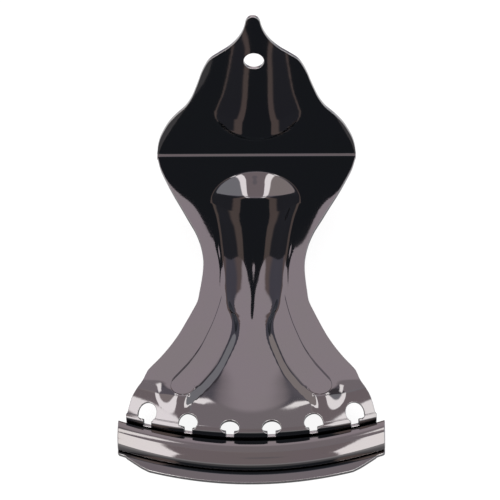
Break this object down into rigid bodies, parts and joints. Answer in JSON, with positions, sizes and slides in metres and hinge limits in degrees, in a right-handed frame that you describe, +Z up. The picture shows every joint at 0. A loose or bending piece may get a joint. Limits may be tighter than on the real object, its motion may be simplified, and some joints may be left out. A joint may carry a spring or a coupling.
{
  "type": "guitar tailpiece",
  "caption": "Stamped sheet-metal tailpiece with an ogee tail flap bent up at a right angle, a bowl-headed emboss that fans out to a row of keyhole string slots, and a low rounded string bar at a step",
  "frame": {"origin": "under the middle of the part's box, at the level of its lowest face, the underside of the lip", "axes": "+Z is up, out of the guitar side of the body plate and along the tail flap; X runs across the width; the tail flap is at +Y and the string end at -Y, so the picture looks along +Y and down"},
  "size_m": [0.0668, 0.1076, 0.0611],
  "materials": {
    "black_nickel": "glossy black nickel plating on stamped steel",
    "black_nickel_bar": "glossy black nickel plating"
  },
  "bodies": {
    "root": {"plate": "black_nickel", "string_bar": "black_nickel_bar"}
  },
  "joints": []
}
